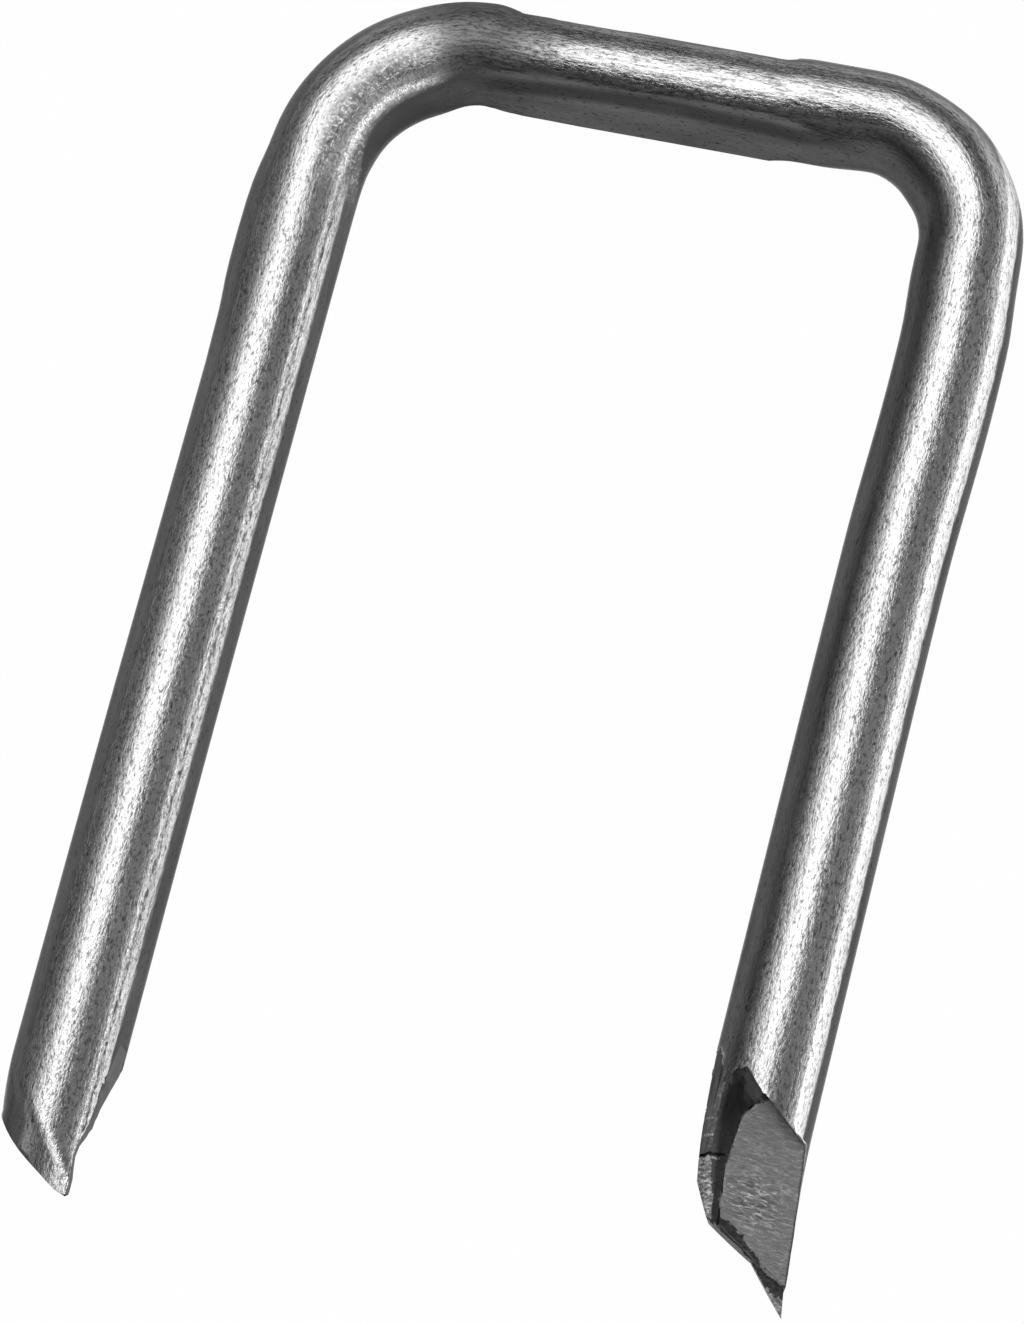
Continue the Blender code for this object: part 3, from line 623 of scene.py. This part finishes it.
# Darkest near the scoop's top: painted shade.
deep_shade = ramp(math_node("MULTIPLY_ADD", wavy_t, 0.25, -6.25), ((0.2, 1.0), (0.6, 0.0)))
scoop_colour = mixed(deep_shade, scoop_colour, ramp(blotches, ((0.35, 0.05), (0.65, 0.08))))
flank = outer_and_high(wavy_x, -0.90, wavy_t)
scoop_colour = mixed(flank, scoop_colour, ramp(strip_grain, ((0.35, 0.12), (0.55, 0.16), (0.65, 0.24))))
outer_skin = outer_and_high(end_x, -1.08, end_t)
scoop_colour = mixed(outer_skin, scoop_colour, ramp(patches, ((0.3, 0.20), (0.7, 0.30))))
strip_side = math_node("MULTIPLY_ADD", end_t, 0.27, -8.21)
outer_strip = math_node("LESS_THAN", wavy_x, strip_side)
outer_strip = math_node("MULTIPLY", outer_strip, math_node("GREATER_THAN", wavy_t, 27.15))
scoop_colour = mixed(outer_strip, scoop_colour, ramp(strip_grain, ((0.35, 0.14), (0.5, 0.28), (0.62, 0.75))))
mark_colour = ramp(pits, ((0.4, 0.25), (0.6, 0.5)))
for centre, half_width, limit in ((26.27, 0.02, -1.02), (26.67, 0.03, -0.92), (27.22, 0.03, -0.62)):
    scoop_colour = mixed(cross_mark(centre, half_width, limit), scoop_colour, mark_colour)
crack = cross_mark(27.12, 0.035, -0.50)
scoop_colour = mixed(crack, scoop_colour, ramp(blotches, ((0.3, 0.02), (0.7, 0.05))))

# The tear ends in a ragged edge towards the scoop, and in a step towards the flap that is painted
# dark as shade.
ragged = math_node("MULTIPLY_ADD", stretched_noise(5.0, 1.0, 4.0, 0.75), 0.44, -0.22)
ragged_reach = math_node("ADD", reach, ragged)
torn_share = math_node("GREATER_THAN", ragged_reach, 0.0)
low_end = math_node("GREATER_THAN", end_t, 28.62)
step_shade_share = math_node("MULTIPLY", low_end, math_node("GREATER_THAN", ragged_reach, -0.26))
cut_colour = mixed(low_end, scoop_colour, flap_colour)
cut_colour = mixed(step_shade_share, cut_colour, wall_shade)
cut_colour = mixed(torn_share, cut_colour, torn_colour)
colour = mixed(kept_share("cut"), skin, cut_colour)
colour = mixed(kept_share("wall"), colour, wall_shade)
colour = mixed(kept_share("wiped"), colour, wiped_colour)
links.new(colour, shader.inputs["Base Color"])

# How the steel shines: mirror-like on the skin, duller on the crown's left third and on the cuts.
edge_tint = ramp(kept_share("lit_facing"), ((0.2, 0.45), (0.7, 0.65)))
dull_tint = ramp(blotches, ((0.3, 0.10), (0.7, 0.16)))
edge_tint = mixed(kept_share("cut"), edge_tint, mixed(torn_share, dull_tint, edge_tint))
edge_tint = mixed(kept_share("wall"), edge_tint, dull_tint)
links.new(edge_tint, shader.inputs["Specular Tint"])
skin_rough = ramp(speckle, ((0.3, 0.12), (0.75, 0.24)))
dull_rough = ramp(speckle, ((0.3, 0.40), (0.75, 0.56)))
dull_place = ramp(crown_place, ((0.34, 0.0), (0.42, 1.0), (0.60, 1.0), (0.74, 0.0)))
skin_rough = mixed(dull_place, skin_rough, dull_rough)
torn_rough = ramp(tear_grain, ((0.3, 0.55), (0.7, 0.42)))
scoop_rough = ramp(blotches, ((0.3, 0.28), (0.7, 0.40)))
rough = mixed(kept_share("cut"), skin_rough, mixed(torn_share, scoop_rough, torn_rough))
links.new(rough, shader.inputs["Roughness"])
fine_bump = nodes.new("ShaderNodeBump")
fine_bump.inputs["Strength"].default_value = 1.0
fine_bump.inputs["Distance"].default_value = 0.0125 * MM
height = math_node("MULTIPLY_ADD", lines, 0.35, speckle)
cut_height = math_node("MULTIPLY", math_node("MULTIPLY", tear_grain, 1.6), torn_share)
links.new(mixed(kept_share("cut"), height, cut_height), fine_bump.inputs["Height"])
links.new(fine_bump.outputs["Normal"], shader.inputs["Normal"])
staple.data.materials.clear()
staple.data.materials.append(steel)
for polygon in staple.data.polygons:
    polygon.material_index = 0

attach(staple, "root")
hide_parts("staple")

# The surface that the staple lies on: a plain white sheet. The camera and mirror-like steel see
# it nearly white, while it is lit and shaded as paper for all other rays.
SHOWN_WHITE = 0.985
bpy.ops.mesh.primitive_plane_add(size=4.0, location=(0, 0, 0))
floor = bpy.context.object
floor.name = "floor"
sheet = bpy.data.materials.new("white_sheet")
sheet.use_nodes = True
sheet_nodes = sheet.node_tree.nodes
sheet_links = sheet.node_tree.links
sheet_shader = sheet_nodes["Principled BSDF"]
sheet_shader.inputs["Base Color"].default_value = (0.9, 0.9, 0.9, 1)
sheet_shader.inputs["Roughness"].default_value = 0.9
sheet_shader.inputs["Specular IOR Level"].default_value = 0.0
glow = sheet_nodes.new("ShaderNodeEmission")
glow.inputs["Strength"].default_value = 1.0
path = sheet_nodes.new("ShaderNodeLightPath")
camera_or_glossy = sheet_nodes.new("ShaderNodeMath")
camera_or_glossy.operation = "MAXIMUM"
shown = sheet_nodes.new("ShaderNodeMath")
shown.operation = "MAXIMUM"
share = sheet_nodes.new("ShaderNodeMath")
share.operation = "MULTIPLY"
share.inputs[1].default_value = SHOWN_WHITE
mix = sheet_nodes.new("ShaderNodeMixShader")
sheet_links.new(path.outputs["Is Camera Ray"], camera_or_glossy.inputs[0])
sheet_links.new(path.outputs["Is Glossy Ray"], camera_or_glossy.inputs[1])
sheet_links.new(camera_or_glossy.outputs[0], shown.inputs[0])
sheet_links.new(path.outputs["Is Transmission Ray"], shown.inputs[1])
sheet_links.new(shown.outputs[0], share.inputs[0])
sheet_links.new(share.outputs[0], mix.inputs["Fac"])
sheet_links.new(sheet_shader.outputs["BSDF"], mix.inputs[1])
sheet_links.new(glow.outputs["Emission"], mix.inputs[2])
sheet_links.new(mix.outputs["Shader"], sheet_nodes["Material Output"].inputs["Surface"])
floor.data.materials.append(sheet)

# The light: a broad soft lamp overhead, made of four strips that fade away from the staple, three
# low cards that brighten its flanks, a weak fill from one side, and a dim room around them.


def strip_lamp(name, place, aim, width, length, radiance):
    """Area lamp of this radiance facing the point aim, with its width square to the Y axis."""
    light = bpy.data.lights.new(name, "AREA")
    light.shape = "RECTANGLE"
    light.size = width
    light.size_y = length
    light.energy = radiance * math.pi * width * length
    lamp = bpy.data.objects.new(name, light)
    forward = (Vector(aim) - Vector(place)).normalized()
    side = Vector((0, 1, 0)).cross(-forward).normalized()
    up = (-forward).cross(side)
    turn = Matrix((side, up, -forward)).transposed()
    lamp.matrix_world = Matrix.Translation(place) @ turn.to_4x4()
    lamp.visible_camera = False
    bpy.context.scene.collection.objects.link(lamp)


strip_lamp("key_near", (-0.040, 0.197, 0.400), (-0.040, 0.197, 0), 0.220, 0.346, 3.3)
strip_lamp("key_middle", (-0.225, 0.197, 0.400), (-0.225, 0.197, 0), 0.150, 0.346, 1.0)
strip_lamp("key_far", (-0.390, 0.197, 0.400), (-0.390, 0.197, 0), 0.180, 0.346, 0.3)
strip_lamp("key_back", (-0.110, 0.560, 0.400), (-0.110, 0.560, 0), 0.390, 0.380, 0.65)
strip_lamp("side_card", (0.300, 0.0, 0.036), (0, 0, 0.0), 0.068, 1.2, 2.2)
strip_lamp("left_card", (-0.300, 0.0, 0.033), (0, 0, 0.0), 0.062, 1.2, 0.7)
strip_lamp("front_card", (0.0, -0.400, 0.045), (0, 0, 0.0), 0.8, 0.085, 0.6)
strip_lamp("fill", (0.45, 0.0, 0.45), (0, 0, 0), 0.62, 1.2, 0.17)

world = bpy.data.worlds.new("room")
bpy.context.scene.world = world
world.use_nodes = True
room = world.node_tree.nodes["Background"]
room.inputs["Color"].default_value = (1, 1, 1, 1)
room.inputs["Strength"].default_value = 0.18

# The camera looks down on the staple from the side of its points, turned as in the photograph.
CAMERA_DISTANCE = 103.9 * MM
CAMERA_TURN = math.radians(10.65)
CAMERA_TILT = math.radians(-16.86)
CAMERA_ROLL = math.radians(14.68)
FOCAL_LENGTH_PIXELS = 4178
IMAGE_HEIGHT = 1324
target = Vector((-0.193 * MM, crown_y - 16.08 * MM, RADIUS))
toward = Vector(
    (
        math.sin(CAMERA_TURN) * math.cos(CAMERA_TILT),
        math.sin(CAMERA_TILT),
        math.cos(CAMERA_TURN) * math.cos(CAMERA_TILT),
    )
)
level_right = (-toward).cross(Vector((0, 1, 0))).normalized()
level_up = level_right.cross(-toward)
camera_right = math.cos(CAMERA_ROLL) * level_right + math.sin(CAMERA_ROLL) * level_up
camera_up = math.cos(CAMERA_ROLL) * level_up - math.sin(CAMERA_ROLL) * level_right
lens = bpy.data.cameras.new("camera")
lens.sensor_width = 36.0
lens.lens = FOCAL_LENGTH_PIXELS / IMAGE_HEIGHT * lens.sensor_width
lens.clip_start = 0.005
camera = bpy.data.objects.new("camera", lens)
bpy.context.scene.collection.objects.link(camera)
turn = Matrix((camera_right, camera_up, toward)).transposed()
camera.matrix_world = Matrix.Translation(target + CAMERA_DISTANCE * toward) @ turn.to_4x4()
bpy.context.scene.camera = camera
bpy.context.scene.view_settings.view_transform = "Standard"
